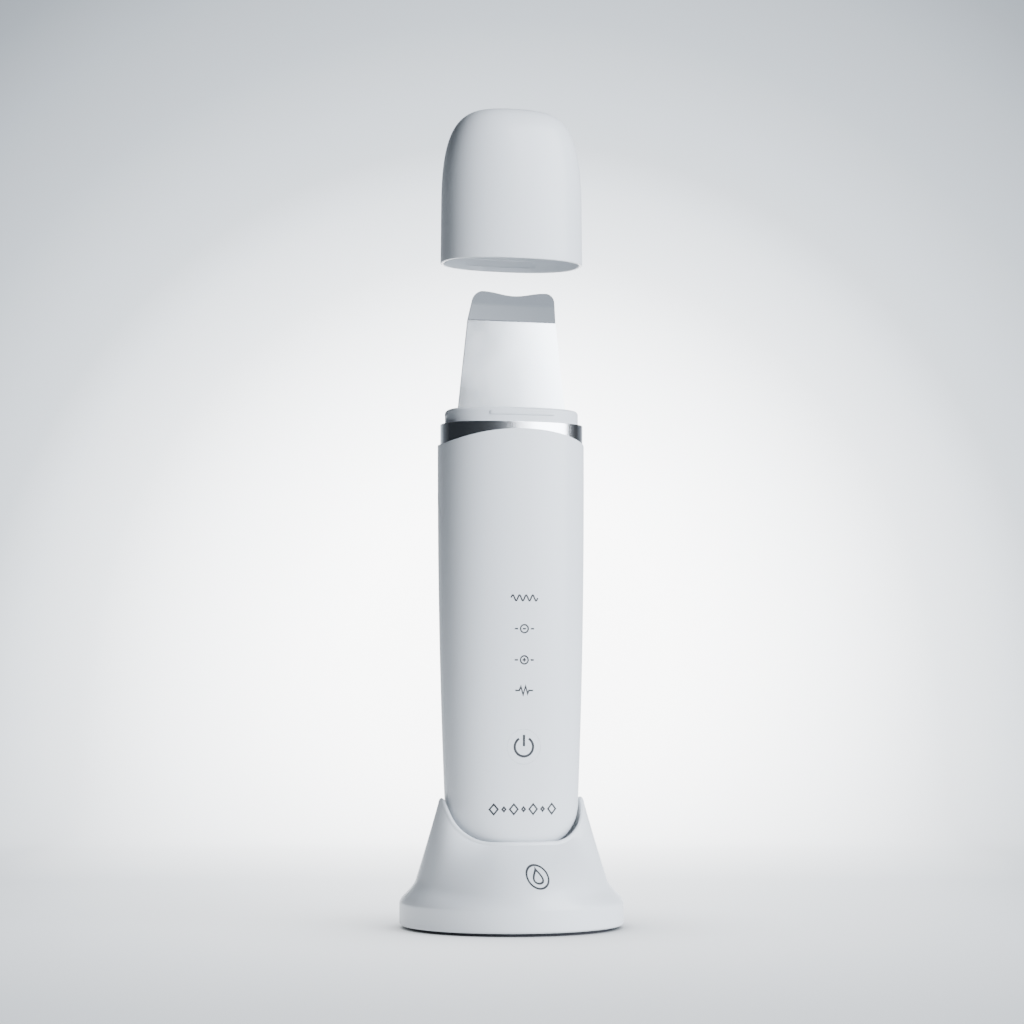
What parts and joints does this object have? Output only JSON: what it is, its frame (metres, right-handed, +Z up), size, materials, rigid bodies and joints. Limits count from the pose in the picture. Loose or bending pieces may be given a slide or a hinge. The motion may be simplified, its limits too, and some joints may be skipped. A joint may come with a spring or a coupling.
{
  "type": "ultrasonic skin scrubber",
  "caption": "Handheld ultrasonic skin scrubber with a bent steel blade and pull-off cap, standing in a flared round charging stand.",
  "frame": {"origin": "centre of the stand's foot, on the ground", "axes": "+Z up along the handset, front with the button faces -Y, +X to the viewer's right seen from the front"},
  "size_m": [0.0654, 0.0654, 0.2408],
  "materials": {
    "cover_plastic": "satin white ABS",
    "cap_plastic": "satin white ABS",
    "stand_plastic": "satin white ABS",
    "collar_plastic": "satin light grey ABS",
    "button_plastic": "satin white ABS",
    "band_chrome": "bright plated",
    "blade_steel": "satin stainless",
    "seal_silicone": "soft matt",
    "mount_rubber": "soft matt",
    "foot_rubber": "soft matt",
    "horn_aluminium": "turned",
    "mass_steel": "turned",
    "ballast_steel": "plain",
    "screw_steel": "zinc plated",
    "piezo_ceramic": "silvered ceramic",
    "electrode_brass": "plain sheet",
    "contact_gold": "gold plated",
    "board_laminate": "green solder mask",
    "chip_black": "moulded epoxy",
    "led_lens": "clear resin over a white body",
    "guide_clear": "clear acrylic",
    "ferrite": "ferrite and enamelled wire",
    "capacitor_sleeve": "shrink sleeve",
    "socket_plastic": "natural nylon",
    "cell_wrap": "shrink film",
    "frame_plastic": "grey ABS",
    "lead_red": "PVC sleeve",
    "lead_white": "PVC sleeve",
    "plate_plastic": "fine spark texture",
    "spring_steel": "drawn wire",
    "inlet_steel": "plated steel"
  },
  "bodies": {
    "stand": {"stand_shell": "stand_plastic", "bottom_plate": "plate_plastic", "foot_ring": "foot_rubber", "ballast_weight": "ballast_steel", "dock_board": "board_laminate", "dock_chip": "chip_black", "dock_screws": "screw_steel", "usb_inlet": "inlet_steel", "pogo_barrels": "contact_gold", "pin_spring_left": "spring_steel", "pin_spring_right": "spring_steel", "base_screws": "screw_steel"},
    "handset": {"front_cover": "cover_plastic", "back_cover": "cover_plastic", "metal_band": "band_chrome", "head_collar": "collar_plastic", "blade_seal": "seal_silicone", "blade": "blade_steel", "transducer_horn": "horn_aluminium", "blade_screws": "screw_steel", "piezo_rings": "piezo_ceramic", "piezo_electrodes": "electrode_brass", "back_mass": "mass_steel", "clamp_bolt": "screw_steel", "transducer_mount": "mount_rubber", "main_board": "board_laminate", "mode_leds": "led_lens", "light_guide": "guide_clear", "tact_switch": "chip_black", "control_chip": "chip_black", "charge_chip": "chip_black", "driver_transistors": "chip_black", "drive_transformer": "ferrite", "filter_capacitor": "capacitor_sleeve", "battery_socket": "socket_plastic", "battery": "cell_wrap", "inner_frame": "frame_plastic", "board_screws": "screw_steel", "charge_contacts": "contact_gold", "contact_leads": "lead_red", "battery_leads": "lead_red", "piezo_leads": "lead_white"},
    "power_button": {"power_button": "button_plastic", "switch_plunger": "chip_black"},
    "cap": {"cap": "cap_plastic"},
    "contact_pin_left": {"contact_pin_left": "contact_gold"},
    "contact_pin_right": {"contact_pin_right": "contact_gold"}
  },
  "joints": [
    {"name": "handset_lift", "type": "slide", "parent": "stand", "child": "handset", "axis": [0, 0, 1], "range_m": [0, 0.05]},
    {"name": "cap_slide", "type": "slide", "parent": "handset", "child": "cap", "axis": [0, 0, 1], "range_m": [-0.0478, 0.002]},
    {"name": "power_button_press", "type": "slide", "parent": "handset", "child": "power_button", "axis": [0, 1, 0], "range_m": [0, 0.0004], "stiffness_N_per_m": 1500, "springref_m": -0.0004},
    {"name": "contact_pin_left_press", "type": "slide", "parent": "stand", "child": "contact_pin_left", "axis": [0, 0, 1], "range_m": [-0.0008, 0], "stiffness_N_per_m": 300, "springref_m": 0.0008, "deforming": ["pin_spring_left"]},
    {"name": "contact_pin_right_press", "type": "slide", "parent": "stand", "child": "contact_pin_right", "axis": [0, 0, 1], "range_m": [-0.0008, 0], "stiffness_N_per_m": 300, "springref_m": 0.0008, "deforming": ["pin_spring_right"]}
  ]
}
